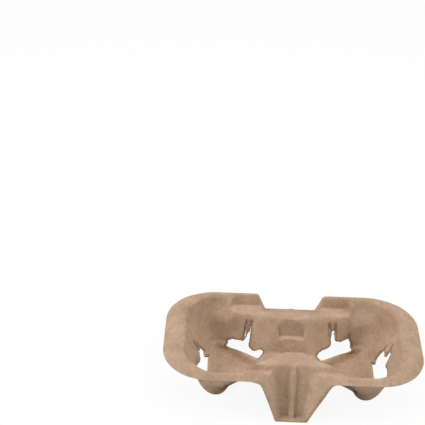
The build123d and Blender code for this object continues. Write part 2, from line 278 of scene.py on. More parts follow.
@dataclass(frozen=True)
class Pocket:
    """One cup pocket: three flat facets and three lobes over a stepped floor, and a nose-shaped front foot.

    The tables hold, per height, the direction, distance and corner radius of each side about the pocket's
    axis: of the walls, of the recessed floor's edge and of the square back corner above. The toe's rows are
    height, radius and centre.
    """

    axis_x: float = -50.0
    axis_y: float = 2.5
    land: float = 8.0
    floor: float = 2.0
    wall_heights: Row = (8.0, 20.0, 37.4, 45.6, 48.6)
    wall_sides: Sides = (
        ((0, 33.5, 9), (60, 22, 9), (120, 33.5, 9), (180, 22, 9),
         (240, 33.5, 9), (270, 28.5, 8), (302, 17.5, 9)),
        ((0, 40, 10), (68, 28.7, 12), (120, 38.3, 16), (180, 27.7, 16),
         (238, 39.4, 16), (270, 38.3, 14), (303, 27.7, 14)),
        ((0, 47, 8), (84, 34.6, 16), (128, 45.2, 22), (180, 36.1, 22),
         (232, 48.0, 22), (270, 47.8, 20), (306, 38.0, 14)),
        ((0, 49, 6), (90, 46.8, 24), (135, 48.5, 26), (180, 40.0, 26),
         (225, 52.0, 26), (270, 51.8, 22), (308, 42.6, 14)),
        ((0, 51, 6), (90, 48.8, 24), (135, 54.5, 26), (180, 47.5, 26),
         (225, 58.0, 26), (270, 53.8, 22), (308, 44.8, 14)),
    )
    sill_heights: Row = (2.0, 3.4, 11.0)
    sill_sides: Sides = (
        ((0, 19.3, 6), (53, 14.0, 6), (113, 29.5, 6),
         (180, 14.0, 6), (247, 26.4, 6), (307, 11.2, 6)),
        ((0, 21.3, 6.5), (53, 15.2, 6.5), (113, 31.0, 6.5),
         (180, 15.2, 6.5), (247, 28.8, 6.5), (307, 12.4, 6.5)),
        ((0, 30.8, 7), (53, 19.9, 7), (113, 33.0, 7),
         (180, 19.9, 7), (247, 33.0, 7), (307, 19.1, 7)),
    )
    corner_heights: Row = (20.0, 37.4, 45.6, 48.6)
    corner_sides: Sides = (
        ((0, -1, 3), (90, 29.0, 10), (135, 37.9, 22), (180, 27.1, 22), (270, 0, 3)),
        ((0, -1, 3), (90, 44.6, 10), (135, 44.9, 22), (180, 35.5, 22), (270, 0, 3)),
        ((0, -1, 3), (90, 46.5, 10), (135, 48.1, 22), (180, 39.4, 22), (270, 0, 3)),
        ((0, -1, 3), (90, 48.5, 10), (135, 54.1, 22), (180, 46.9, 22), (270, 0, 3)),
    )
    toe: tuple[Quad, ...] = (
        (2.0, 4.6, -13.1, -23.0), (3.2, 6.6, -13.2, -22.1),
        (7.0, 10.2, -13.8, -19.9), (18.0, 15.0, -15.0, -17.5),
    )
    bend_ease: float = 2.5
    crest_ease: float = 0.6
    crest_from: float = 44.0
    ease_steps: int = 5
    corner_fold: float = 2.0
    sill_fold: float = 1.2
    toe_fold: float = 2.4
    floor_fold: float = 1.0

    def _sides_at(self, height: float, heights: Row, table: Sides) -> Array:
        """The sides at one height: straight between the table's rows, averaged over a short stretch."""
        ease = self.bend_ease if height < self.crest_from else self.crest_ease
        known = np.array(table, float)
        rows = []
        for shift in np.linspace(-ease, ease, self.ease_steps):
            place = np.clip(height + shift, heights[0], heights[-1])
            k = int(np.clip(np.searchsorted(heights, place) - 1, 0, len(heights) - 2))
            share = (place - heights[k]) / (heights[k + 1] - heights[k])
            rows.append(known[k] * (1.0 - share) + known[k + 1] * share)
        return np.mean(rows, axis=0)

    def _from_axis(self, plan: Plan, side: int) -> tuple[Array, Array]:
        """The points from the pocket's axis, the right pocket's mirrored onto the left one's."""
        return -side * plan.x - self.axis_x, plan.y - self.axis_y

    def wall_distance(self, plan: Plan, height: float, side: int) -> Array:
        """Distance outside the pocket's outline at one height.

        Args:
            plan: Points of the tray.
            height: Height of the outline.
            side: -1 for the left pocket and 1 for the right.

        Returns:
            The walls' distance field, or the square back corner's where that is less.
        """
        u, v = self._from_axis(plan, side)
        walls = ring_distance(u, v, self._sides_at(height, self.wall_heights, self.wall_sides), plan.grow)
        if height < self.corner_heights[0]:
            return walls
        corner = self._sides_at(height, self.corner_heights, self.corner_sides)
        return smooth_min(walls, ring_distance(u, v, corner, plan.grow), self.corner_fold)

    def recess(self, plan: Plan, side: int) -> Array:
        """Height of the recessed floor with its chamfered edge, and of the front foot sunk into it."""
        u, v = self._from_axis(plan, side)
        heights = np.array(self.sill_heights) - np.array([plan.drop, plan.drop, 0.0])
        edges = np.stack([ring_distance(u, v, sides, plan.grow) for sides in np.array(self.sill_sides)])
        slope = cliff(climb(heights, edges), self.sill_heights[-1])
        shelf = smooth_max(plan.level(self.floor), slope, self.sill_fold)
        toe = np.array(self.toe)
        rings = np.stack([np.hypot(u - cx, v - cy) - radius - plan.grow for _, radius, cx, cy in toe])
        nose = cliff(climb(toe[:, 0] - plan.drop, rings), toe[-1, 0] - plan.drop)
        foot = smooth_max(plan.level(self.floor), nose, self.toe_fold)
        return smooth_min(shelf, foot, self.floor_fold)


@dataclass(frozen=True)
class Divider:
    """Saddle between the pockets with the two-step stair at its back.

    Each edge of the opening has its distance at the saddle and what it gains up to the top, once near the
    middle and once far from it. A bend is where the edge starts to slant, over what length, and the most of
    that it follows. A panel is its place, its run before that and its slope.
    """

    saddle: float = 8.0
    rise: float = 41.0
    reach: float = 26.0
    back_near: Pair = (19.6, 11.0)
    back_far: Pair = (17.0, 20.5)
    back_bend: Triple = (12.5, 13.5, 1.3)
    front_near: Pair = (15.0, 8.2)
    front_far: Pair = (8.0, 26.0)
    front_bend: Triple = (8.0, 15.0, 1.2)
    flank_fold: float = 2.0
    end_fold: float = 4.0
    half_width: float = 10.5
    shift: float = 0.8
    tread_height: float = 21.4
    lower_panel: Triple = (20.9, 0.7, 12.0)
    upper_panel: Triple = (28.7, 1.2, 6.5)
    cheek_slope: float = 16.0
    front_slope: float = 4.0
    tread_fold: float = 3.4
    foot_fold: float = 2.5
    upper_fold: float = 3.5
    front_fold: float = 1.0
    cheek_fold: float = 6.0

    @staticmethod
    def _edge(away: Array, share: float, near: Pair, far: Pair, bend: Triple) -> Array:
        """Distance from the middle to one edge: the near one up to the bend, then slanting to the far one."""
        along = np.clip((away - bend[0]) / bend[1], 0.0, bend[2])
        close = near[0] + near[1] * share
        return close + (far[0] + far[1] * share - close) * along

    def distance(self, plan: Plan, height: float) -> Array:
        """Distance outside the open space between the pockets at one height, its flanks straight in plan."""
        share = (height - self.saddle) / self.rise
        away = np.abs(plan.x)
        back = plan.y - self._edge(away, share, self.back_near, self.back_far, self.back_bend) - plan.grow
        front = -self._edge(away, share, self.front_near, self.front_far, self.front_bend) - plan.y
        space = smooth_max(back, front - plan.grow, self.flank_fold)
        return smooth_max(space, away - self.reach, self.end_fold)

    def _panel(self, plan: Plan, foot: float, panel: Triple) -> Array:
        """Height of a steep panel that rises from a level foot."""
        place, run, slope = panel
        return foot - plan.drop + (plan.y - place - plan.grow + run) * slope

    def stair(self, plan: Plan) -> Array:
        """Height of the stair: two steep panels with a level tread between, cut as wide as the saddle."""
        bottom = plan.level(self.saddle)
        lower = self._panel(plan, self.saddle, self.lower_panel)
        upper = self._panel(plan, self.tread_height, self.upper_panel)
        steps = smooth_max(smooth_min(lower, plan.level(self.tread_height), self.tread_fold), bottom,
                           self.foot_fold)
        steps = smooth_max(steps, upper, self.upper_fold)
        steps = smooth_max(steps, bottom - plan.y * self.front_slope, self.front_fold)
        aside = np.abs(plan.x - self.shift) - self.half_width - plan.grow
        return smooth_max(steps, bottom + aside * self.cheek_slope, self.cheek_fold)


@dataclass(frozen=True)
class Chute:
    """Carrying chute, open to the front: leaning back wall with a rib, flared sides and a flat lip."""

    floor: float = 2.0
    top: float = 49.0
    level_count: int = 14
    back_low: float = 50.8
    back_high: float = 37.2
    half_low: float = 10.5
    half_high: float = 17.5
    front_low: float = 11.3
    flare_left: float = 17.6
    flare_right: float = 23.9
    open_front: float = 60.0
    rib_half: float = 2.3
    rib_depth: float = 3.0
    side_fold: float = 3.2
    rib_fold: float = 1.0
    root_fold: float = 1.2
    floor_fold: float = 2.4

    @staticmethod
    def _right_of(plan: Plan, a: Pair, b: Pair) -> Array:
        """Distance to the right of the line from a to b, in plan."""
        return ((plan.y - a[1]) * (a[0] - b[0]) + (plan.x - a[0]) * (b[1] - a[1])) / math.dist(a, b)

    def _outline(self, plan: Plan, share: float, face: Face) -> Array:
        """Distance outside the chute's open space at a share of its height.

        Args:
            plan: Points of the tray.
            share: 0 at the floor and 1 at the top.
            face: Which face; the rib stands on the upper one alone.

        Returns:
            The distance field at the points.
        """
        back = self.back_low + (self.back_high - self.back_low) * share - plan.grow
        half = self.half_low + (self.half_high - self.half_low) * share + plan.grow
        left = self.front_low + self.flare_left * share + plan.grow
        right = self.front_low + self.flare_right * share + plan.grow
        rear = plan.y + back
        west = self._right_of(plan, (-half, -back), (-left, -self.open_front))
        east = self._right_of(plan, (right, -self.open_front), (half, -back))
        space = smooth_max(smooth_max(rear, west, self.side_fold), east, self.side_fold)
        if face is Face.UNDER:
            return space
        rib = smooth_max(np.abs(plan.x) - self.rib_half, -(rear + self.rib_depth), self.rib_fold)
        return smooth_max(space, -rib, self.root_fold)

    def height(self, plan: Plan, face: Face) -> Array:
        """Height of the chute's walls, rising from plan outlines that widen and move back with height."""
        levels = np.linspace(self.floor, self.top, self.level_count)
        shares = (levels - self.floor) / (self.top - self.floor)
        outlines = np.stack([self._outline(plan, share, face) for share in shares])
        return smooth_max(plan.level(self.floor), climb(levels - plan.drop, outlines), self.floor_fold)


@dataclass(frozen=True)
class Ledges:
    """Shoulder behind the divider, notch through the back rim, and mound with its groove at the front.

    Roll and mound are broken lines over y, each with how far its bends move as the underside grows.
    """

    shoulder: float = 37.4
    shoulder_rings: tuple[Triple, ...] = ((37.4, 54.0, 48.6), (46.3, 55.5, 49.4), (48.6, 57.5, 51.5))
    shoulder_depth: float = 15.0
    shoulder_corner: float = 9.0
    shoulder_fold: float = 2.2
    notch_half: float = 25.8
    notch_flare: float = 22.0
    notch_fold: float = 2.6
    groove_half: float = 47.0
    groove_slope: float = 2.0
    roll_y: Row = (30.0, 36.6, 40.0, 45.0, 50.5, 56.0, 60.0)
    roll_z: Row = (60.0, 37.3, 36.7, 34.3, 31.1, 28.1, 26.0)
    roll_shift: Row = (0.0, 0.5, 0.5, 0.5, 0.5, 0.0, 0.0)
    roll_ease: float = 1.2
    nub_height: float = 1.0
    nub_place: Pair = (1.0, 54.5)
    nub_spread: Pair = (2.2, 3.0)
    mound_y: Row = (-60.0, -51.3, -49.3, -46.4, -40.8, -38.8, -23.0, -15.0)
    mound_z: Row = (68.0, 49.0, 45.6, 41.4, 41.4, 46.4, 47.3, 52.0)
    mound_shift: Row = (0.0, -1.0, -1.0, -0.8, 0.5, 0.5, 0.0, 0.0)
    mound_ease: float = 0.8
    ease_steps: int = 7

    def _eased(self, y: Array, knots: Array, values: Row, width: float) -> Array:
        """A broken line over y, averaged over a short stretch so that its bends are round."""
        shifts = np.linspace(-width, width, self.ease_steps)
        return np.mean([np.interp(y + shift, knots, values) for shift in shifts], axis=0)

    def shelf(self, plan: Plan) -> Array:
        """Height of the shoulder: a level floor inside a rounded rectangle, and the steep wall behind it."""
        depth = self.shoulder_depth
        rings = [rounded_rectangle(plan.x, plan.y - back + depth - plan.grow, half + plan.grow, depth,
                                   self.shoulder_corner) for _, half, back in self.shoulder_rings]
        heights = np.array([ring[0] for ring in self.shoulder_rings]) - [plan.drop, plan.drop, 0.0]
        return smooth_max(plan.level(self.shoulder), climb(heights, np.stack(rings)), self.shoulder_fold)

    def notch(self, plan: Plan) -> Array:
        """Height of the notch: a floor with a small nub, rolling down to the outline between its cheeks."""
        knots = np.array(self.roll_y) + np.array(self.roll_shift) * plan.grow
        nub_x = (plan.x - self.nub_place[0]) / self.nub_spread[0]
        nub_y = (plan.y - self.nub_place[1]) / self.nub_spread[1]
        nub = self.nub_height * np.exp(-(nub_x**2) - nub_y**2)
        floor = self._eased(plan.y, knots, self.roll_z, self.roll_ease) + nub - plan.drop
        slope = 1.0 / math.tan(math.radians(self.notch_flare))
        cheeks = self.shoulder + (np.abs(plan.x) - self.notch_half - plan.grow) * slope
        return smooth_max(floor, cheeks, self.notch_fold)

    def groove(self, plan: Plan) -> Array:
        """Height of the mound's top, of the trough before it and of the front rim's inner wall."""
        knots = np.array(self.mound_y) + np.array(self.mound_shift) * plan.grow
        line = self._eased(plan.y, knots, self.mound_z, self.mound_ease) - plan.drop
        return line + np.maximum(np.abs(plan.x) - self.groove_half, 0.0) * self.groove_slope


@dataclass(frozen=True)
class Sheet:
    """The pulp sheet: rim and hollows put together for either face.

    The ridge folds are those of the basin, both recesses, the stair, the shelf, the notch and the groove. The
    low levels are start, end and step. A flare pair is where the wide ridge starts, and over what length.
    """

    wall: float = 2.0
    draft: float = 20.0
    rim: Rim = Rim()
    pocket: Pocket = Pocket()
    divider: Divider = Divider()
    chute: Chute = Chute()
    ledges: Ledges = Ledges()
    low_levels: Triple = (4.0, 44.0, 2.5)
    crest_levels: Row = (44.8, 45.6, 46.6, 47.6, 48.6, 50.5)
    pair_fold: float = 2.0
    basin_fold: float = 8.0
    basin_sharpening: float = 4.0
    sharp_from: float = 6.0
    sharp_over: float = 16.0
    land_fold: float = 2.2
    ridge_folds: Row = (2.4, 1.6, 1.6, 0.7, 1.8, 0.9, 1.2)
    chute_fold: float = 2.2
    flare_fold: float = 3.0
    flare_x: Pair = (8.0, 12.0)
    flare_y: Pair = (45.0, 9.0)

    def _basin(self, plan: Plan) -> Array:
        """Height of both pockets and the open space between them, their ridges sharper at the front."""
        levels = np.concatenate([np.arange(*self.low_levels), self.crest_levels])
        sharp = np.clip((self.sharp_from - plan.y) / self.sharp_over, 0.0, 1.0)
        fold = self.basin_fold - self.basin_sharpening * sharp
        outlines = []
        for level in levels:
            left, right = (self.pocket.wall_distance(plan, level, side) for side in (-1, 1))
            pair = smooth_min(left, right, self.pair_fold)
            outlines.append(smooth_min(pair, self.divider.distance(plan, level), fold))
        return smooth_max(plan.level(self.pocket.land), climb(levels, np.stack(outlines)), self.land_fold)

    def _flare(self, plan: Plan) -> Array:
        """Width of the ridge round the chute, growing towards the front edge on both sides."""
        ahead = np.clip((-plan.y - self.flare_y[0]) / self.flare_y[1], 0.0, 1.0)
        aside = np.clip((np.abs(plan.x) - self.flare_x[0]) / self.flare_x[1], 0.0, 1.0)
        return self.chute_fold + self.flare_fold * aside * ahead**2 * (3.0 - 2.0 * ahead)

    def height(self, x: Array, y: Array, face: Face) -> Array:
        """Height of one face over the points: the blended lowest of the rim and of every hollow.

        For the underside each hollow is grown sideways by the wall over the cosine of its draft and lowered
        by the wall, so the sheet keeps its thickness on floors and on steep walls alike.

        Args:
            x: Points' first coordinate.
            y: Points' second coordinate.
            face: Which face.

        Returns:
            Heights in millimetres.
        """
        plan = Plan(x, y)
        if face is Face.UNDER:
            plan = Plan(x, y, self.wall / math.cos(math.radians(self.draft)), self.wall)
        hollows = (
            self._basin(plan), self.pocket.recess(plan, -1), self.pocket.recess(plan, 1),
            self.divider.stair(plan), self.ledges.shelf(plan), self.ledges.notch(plan),
            self.ledges.groove(plan), self.chute.height(plan, face),
        )
        total = self.rim.height(plan)
        for hollow, fold in zip(hollows, (*self.ridge_folds, self._flare(plan))):
            total = smooth_min(total, hollow, fold)
        return total


# Torn windows


@dataclass(frozen=True)
class Tear:
    """One torn opening in a facet, in shares of its half length along and of its height above the land."""

    side: int
    turn: float
    mirrored: bool
    outline: tuple[Pair, ...]
    slits: tuple[tuple[Pair, Pair], ...]

    axis: Pair = (50.0, 2.5)
    half_length: float = 17.0
    height: float = 10.0
    land: float = 8.0
    low: float = 5.0
    low_margin: float = 0.05
    near: float = 19.2
    far: float = 46.0
    slit_width: float = 1.6
    slit_taper: float = 5.0
    point_gap: float = 0.7
    roughness: float = 0.22
    slit_roughness: float = 0.08
    slit_seed: int = 50

    def _ragged(self, corners: Array, rough: float, seed: int) -> Array:
        """The closed outline with evenly spaced points, moved by seeded noise.

        Args:
            corners: Distance along the facet, and height.
            rough: Size of the noise, which is averaged between neighbours and is 0 along the bottom.
            seed: Seed of the noise.

        Returns:
            The points, anticlockwise.
        """
        following = np.roll(corners, -1, axis=0)
        lengths = np.hypot(*(following - corners).T)
        counts = np.maximum(1, np.round(lengths / self.point_gap)).astype(int)
        start = np.repeat(corners, counts, axis=0)
        stop = np.repeat(following, counts, axis=0)
        share = np.concatenate([np.arange(n) / n for n in counts])[:, None]
        points = start + (stop - start) * share
        jitter = np.random.default_rng(seed).normal(0.0, 1.0, points.shape)
        jitter = (jitter + np.roll(jitter, 1, axis=0)) / 2.0
        jitter[points[:, 1] <= self.low + self.low_margin] = 0.0
        points = points + rough * jitter
        after = np.roll(points, -1, axis=0)
        turning = np.sum(points[:, 0] * after[:, 1] - points[:, 1] * after[:, 0])
        return points if turning > 0.0 else points[::-1]

    def _in_facet(self, shares: tuple[Pair, ...]) -> Array:
        """Shares turned into millimetres along the facet and height."""
        sign = -1.0 if self.mirrored else 1.0
        return np.array(shares) * [sign * self.half_length, self.height] + [0.0, self.land]

    def prisms(self, seed: int) -> list[Ring]:
        """The opening and its slits as prisms that run outward from near the pocket's axis.

        Args:
            seed: Seed of the opening's edge; those of the slits follow from it.

        Returns:
            Pairs of rings, at the near and at the far end.
        """
        corners = self._in_facet(self.outline)
        feet = np.array([[corners[-1, 0], self.low], [corners[0, 0], self.low]])
        rings = [self._ragged(np.vstack([corners, feet]), self.roughness, seed)]
        wide = np.array([self.slit_width / 2.0, 0.0])
        thin = np.array([self.slit_width / self.slit_taper, 0.0])
        for index, slit in enumerate(self.slits):
            a, b = self._in_facet(slit)
            corners = np.array([a - wide, a + wide, b + thin, b - thin])
            rings.append(self._ragged(corners, self.slit_roughness, seed + self.slit_seed + index))
        return [self._placed(ring) for ring in rings]

    def _placed(self, ring: Array) -> Ring:
        """A ring in the facet's plane put into the tray's frame, at the prism's near and far end."""
        angle = math.radians(self.turn)
        out = np.array([math.cos(angle), math.sin(angle), 0.0])
        along = np.array([-math.sin(angle), math.cos(angle), 0.0])
        origin = np.array([self.side * self.axis[0], self.axis[1], 0.0])
        flat = origin + ring[:, :1] * along + ring[:, 1:] * np.array([0.0, 0.0, 1.0])
        return flat + self.near * out, flat + self.far * out


BACK_LEFT = (
    (1.09, 0.0), (1.08, 0.24), (0.8, 0.5), (0.5, 0.57), (0.22, 0.61), (0.17, 0.95), (0.1, 1.42),
    (0.01, 1.46), (-0.06, 1.0), (-0.12, 0.39), (-0.38, 0.2), (-0.6, 0.22), (-0.73, 0.32),
    (-0.86, 0.22), (-0.88, 0.0),
)
BACK_RIGHT = (
    (1.08, 0.0), (1.09, 0.35), (1.0, 0.8), (0.88, 0.84), (0.47, 0.75), (0.26, 0.88), (0.28, 1.25),
    (0.22, 1.82), (0.14, 1.8), (0.03, 1.25), (-0.05, 0.85), (-0.17, 0.61), (-0.6, 0.42),
    (-0.78, 0.22), (-0.9, 0.0),
)
OUTER_LEFT = (
    (0.75, 0.0), (1.0, 0.7), (1.1, 0.98), (0.85, 1.0), (0.56, 1.0), (0.28, 1.04), (0.12, 1.24),
    (-0.02, 1.24), (-0.3, 1.14), (-0.56, 1.04), (-0.62, 0.8), (-0.72, 0.5), (-0.8, 0.25),
    (-0.6, 0.0),
)
OUTER_RIGHT = (
    (0.98, 0.0), (1.15, 0.45), (1.6, 1.25), (1.64, 1.6), (1.2, 1.52), (0.72, 1.48), (0.54, 1.62),
    (0.3, 2.4), (0.17, 2.3), (-0.08, 1.9), (-0.02, 1.52), (-0.2, 1.56), (-0.4, 1.56), (-0.62, 1.28),
    (-0.68, 0.9), (-0.66, 0.3), (-0.56, 0.0),
)
SLITS_BACK_LEFT = (((0.23, 0.9), (0.31, 2.35)), ((0.02, 1.3), (0.1, 2.4)))
SLITS_BACK_RIGHT = (((0.02, 1.5), (0.07, 2.45)), ((0.26, 1.5), (0.36, 2.4)), ((0.96, 0.7), (1.06, 1.3)))
SLITS_OUTER_LEFT = (((-0.06, 1.1), (-0.16, 2.3)), ((-0.36, 1.0), (-0.42, 1.7)))
SLITS_OUTER_RIGHT = (((0.1, 2.1), (-0.1, 2.7)), ((-0.44, 1.4), (-0.56, 1.9)))
TEARS = (
    Tear(-1, 60.0, False, BACK_LEFT, SLITS_BACK_LEFT),
    Tear(-1, 180.0, False, OUTER_LEFT, SLITS_OUTER_LEFT, near=20.8, slit_width=2.8),
    Tear(-1, 300.0, True, BACK_LEFT, SLITS_BACK_LEFT),
    Tear(1, 120.0, True, BACK_RIGHT, SLITS_BACK_RIGHT),
    Tear(1, 0.0, True, OUTER_RIGHT, SLITS_OUTER_RIGHT, near=21.4),
    Tear(1, 240.0, False, BACK_RIGHT, SLITS_BACK_RIGHT),
)


# Meshes


def make_mesh(name: str, points: Array, faces: list[Array]) -> bpy.types.Mesh:
    """A mesh from points in millimetres and arrays of faces, one array per number of corners.

    Args:
        name: The mesh's name.
        points: Vertices as rows.
        faces: Arrays of vertex indices, outward faces anticlockwise.

    Returns:
        The mesh, in metres.
    """
    mesh = bpy.data.meshes.new(name)
    corners = np.concatenate([f.ravel() for f in faces])
    sizes = np.concatenate([np.full(len(f), f.shape[1]) for f in faces])
    starts = np.concatenate([[0], np.cumsum(sizes)[:-1]])
    mesh.vertices.add(len(points))
    mesh.vertices.foreach_set("co", (points * MM).astype(np.float32).ravel())
    mesh.loops.add(len(corners))
    mesh.loops.foreach_set("vertex_index", corners.astype(np.int32))
    mesh.polygons.add(len(sizes))
    mesh.polygons.foreach_set("loop_start", starts.astype(np.int32))
    mesh.update(calc_edges=True)
    mesh.validate()
    return mesh


def vertex_rows(mesh: bpy.types.Mesh, what: str) -> Array:
    """Places ("co") or directions ("normal") of a mesh's vertices, as rows."""
    values = np.empty(len(mesh.vertices) * 3, np.float32)
    mesh.vertices.foreach_get(what, values)
    return values.reshape(-1, 3).astype(float)


def add_object(name: str, mesh: bpy.types.Mesh) -> bpy.types.Object:
    """A new object for the mesh, linked to the scene."""
    made = bpy.data.objects.new(name, mesh)
    bpy.context.scene.collection.objects.link(made)
    return made


def set_attribute(mesh: bpy.types.Mesh, name: str, values: Array) -> None:
    """Stores one number per vertex under the name."""
    attribute = mesh.attributes.get(name) or mesh.attributes.new(name, "FLOAT", "POINT")
    attribute.data.foreach_set("value", values.astype(np.float32))


# Finish


class Bench:
    """A node tree, emptied, with short ways to add the nodes that the finishes need."""

    def __init__(self, owner: bpy.types.Material | bpy.types.World) -> None:
        """Turns on the owner's nodes and clears them."""
        owner.use_nodes = True
        self.tree = owner.node_tree
        self.tree.nodes.clear()

    def add(self, kind: str, sockets: dict[str | int, object] | None = None,
            **settings: object) -> bpy.types.Node:
        """A new node.

        Args:
            kind: The node's type.
            sockets: Per input, by name or place, a value to set or an output to link.
            settings: The node's own settings.

        Returns:
            The node.
        """
        node = self.tree.nodes.new(kind)
        for name, value in settings.items():
            setattr(node, name, value)
        for name, value in (sockets or {}).items():
            if isinstance(value, Socket):
                self.tree.links.new(value, node.inputs[name])
            else:
                node.inputs[name].default_value = value
        return node

    def maths(self, operation: str, a: float | Socket, b: float | Socket) -> Socket:
        """The result of a Math node on two numbers."""
        return self.add("ShaderNodeMath", {0: a, 1: b}, operation=operation).outputs[0]

    def stored(self, name: str) -> Socket:
        """The number that the mesh stores under the name."""
        return self.add("ShaderNodeAttribute", attribute_name=name).outputs["Fac"]

    def mixed(self, share: Socket, a: bpy.types.Node, b: bpy.types.Node) -> Socket:
        """A shader between those of the nodes a and b."""
        return self.add("ShaderNodeMixShader", {0: share, 1: a.outputs[0], 2: b.outputs[0]}).outputs[0]

    def seen(self) -> Socket:
        """1 for the rays that see the backdrop: camera, glossy and transmission."""
        path = self.add("ShaderNodeLightPath")
        total = path.outputs[Ray.CAMERA.value]
        for ray in (Ray.GLOSSY, Ray.TRANSMISSION):
            total = self.maths("MAXIMUM", total, path.outputs[ray.value])
        return total


@dataclass(frozen=True)
class Layer:
    """One noise of the finish: cells per metre, detail, roughness, the range used, and its two shades."""

    scale: float
    detail: float
    rough: float
    low: float
    high: float
    dim: float = 1.0
    bright: float = 1.0

    def noise(self, bench: Bench, place: Socket) -> Socket:
        """The noise's value at the place."""
        sockets = {"Vector": place, "Scale": self.scale, "Detail": self.detail, "Roughness": self.rough}
        return bench.add("ShaderNodeTexNoise", sockets).outputs["Fac"]

    def ranged(self, bench: Bench, value: Socket) -> Socket:
        """The value stretched so that low becomes 0 and high becomes 1."""
        sockets = {"Value": value, "From Min": self.low, "From Max": self.high}
        return bench.add("ShaderNodeMapRange", sockets).outputs["Result"]

    def shade(self, bench: Bench, colour: Socket, share: Socket) -> Socket:
        """The colour times a factor that goes from dim to bright as the share goes from 0 to 1."""
        level = bench.add("ShaderNodeMapRange", {"Value": share, "To Min": self.dim, "To Max": self.bright})
        grey = bench.add("ShaderNodeCombineXYZ", {k: level.outputs["Result"] for k in range(3)})
        sockets = {0: colour, 1: grey.outputs[0]}
        return bench.add("ShaderNodeVectorMath", sockets, operation="MULTIPLY").outputs["Vector"]


@dataclass(frozen=True)
class PulpFinish:
    """Matte moulded pulp: tan, mottled and fibrous, with wire marks above and pits below. Shade is painted
    dark brown on the windows' cut faces and along their edges.
    """

    base: Triple = (0.535, 0.382, 0.268)
    dark: Triple = (0.405, 0.272, 0.178)
    # Dark brown of the painted shade on the windows' cut faces and along their edges.
    painted_edge_shade: Triple = (0.10, 0.045, 0.02)
    roughness: float = 0.94
    specular: float = 0.18
    mottle: Layer = Layer(55.0, 4.0, 0.62, 0.3, 0.72)
    fibre: Layer = Layer(620.0, 3.0, 0.6, 0.35, 0.7, 0.86, 1.06)
    speck: Layer = Layer(900.0, 2.0, 0.5, 0.25, 0.8, 0.88, 1.08)
    pit: Layer = Layer(320.0, 2.0, 0.55, 0.52, 0.68, 1.0, 0.78)
    bend_scale: float = 140.0
    bend_share: float = 0.012
    fibre_stretch: Triple = (1.0, 0.45, 0.7)
    wire_scale: float = 240.0
    wire_distortion: float = 1.2
    wire_detail: float = 1.0
    bump_strength: float = 0.55
    bump_depths: Row = (0.0009, 0.00035, 0.00018, 0.00012)

    def build(self) -> bpy.types.Material:
        """The material, from noise and wave textures on Object coordinates and two vertex attributes.

        Returns:
            The node material.
        """
        material = bpy.data.materials.new("moulded_pulp")
        bench = Bench(material)
        place = bench.add("ShaderNodeTexCoord").outputs["Object"]
        mottle = self.mottle.noise(bench, place)
        fibre = self.fibre.noise(bench, self._fibre_place(bench, place))
        speck = self.speck.noise(bench, place)
        tone = self._blend(bench, self.mottle.ranged(bench, mottle), (*self.dark, 1.0), (*self.base, 1.0))
        tone = self.fibre.shade(bench, tone, self.fibre.ranged(bench, fibre))
        tone = self.speck.shade(bench, tone, self.speck.ranged(bench, speck))
        tone = self.pit.shade(bench, tone, self._pits(bench, place))
        # Painted shade: the windows' cut faces and edges turn dark brown by the stored edge mark.
        tone = self._blend(bench, bench.stored("painted_edge_shade"), tone, (*self.painted_edge_shade, 1.0))
        shader = bench.add("ShaderNodeBsdfPrincipled", {
            "Base Color": tone, "Roughness": self.roughness, "Specular IOR Level": self.specular,
            "Normal": self._bump(bench, (mottle, fibre, speck, self._wire(bench, place))),
        })
        bench.add("ShaderNodeOutputMaterial", {0: shader.outputs[0]})
        return material

    @staticmethod
    def _blend(bench: Bench, share: Socket, a: object, b: object) -> Socket:
        """A colour between a and b, each a colour or an output."""
        node = bench.add("ShaderNodeMix", {"Factor": share, "A": a, "B": b}, data_type="RGBA")
        return node.outputs["Result"]

    def _fibre_place(self, bench: Bench, place: Socket) -> Socket:
        """Coordinates for short matted fibres: bent by a coarser noise, then stretched."""
        bend = bench.add("ShaderNodeTexNoise", {"Vector": place, "Scale": self.bend_scale}).outputs["Color"]
        sockets = {"Factor": self.bend_share, "A": place, "B": bend}
        bent = bench.add("ShaderNodeMix", sockets, data_type="VECTOR").outputs["Result"]
        return bench.add("ShaderNodeMapping", {"Vector": bent, "Scale": self.fibre_stretch}).outputs["Vector"]

    def _pits(self, bench: Bench, place: Socket) -> Socket:
        """Coarse pits of the side that did not touch the wire: 1 in a pit, 0 elsewhere and above."""
        outer = bench.maths("SUBTRACT", 1.0, bench.stored("inner"))
        return bench.maths("MULTIPLY", self.pit.ranged(bench, self.pit.noise(bench, place)), outer)

    def _wire(self, bench: Bench, place: Socket) -> Socket:
        """Faint square weave left by the forming wire, on the upper face only."""
        sockets = {"Vector": place, "Scale": self.wire_scale, "Distortion": self.wire_distortion,
                   "Detail": self.wire_detail}
        along, across = (bench.add("ShaderNodeTexWave", sockets, bands_direction=direction).outputs["Fac"]
                         for direction in ("X", "Y"))
        return bench.maths("MULTIPLY", bench.maths("MULTIPLY", along, across), bench.stored("inner"))

    def _bump(self, bench: Bench, reliefs: tuple[Socket, ...]) -> Socket:
        """Chained bumps, one for each relief and its depth in metres."""
        chained: dict[str, Socket] = {}
        for relief, depth in zip(reliefs, self.bump_depths):
            sockets = {"Strength": self.bump_strength, "Distance": depth, "Height": relief, **chained}
            chained = {"Normal": bench.add("ShaderNodeBump", sockets).outputs["Normal"]}
        return chained["Normal"]


# Assemblies


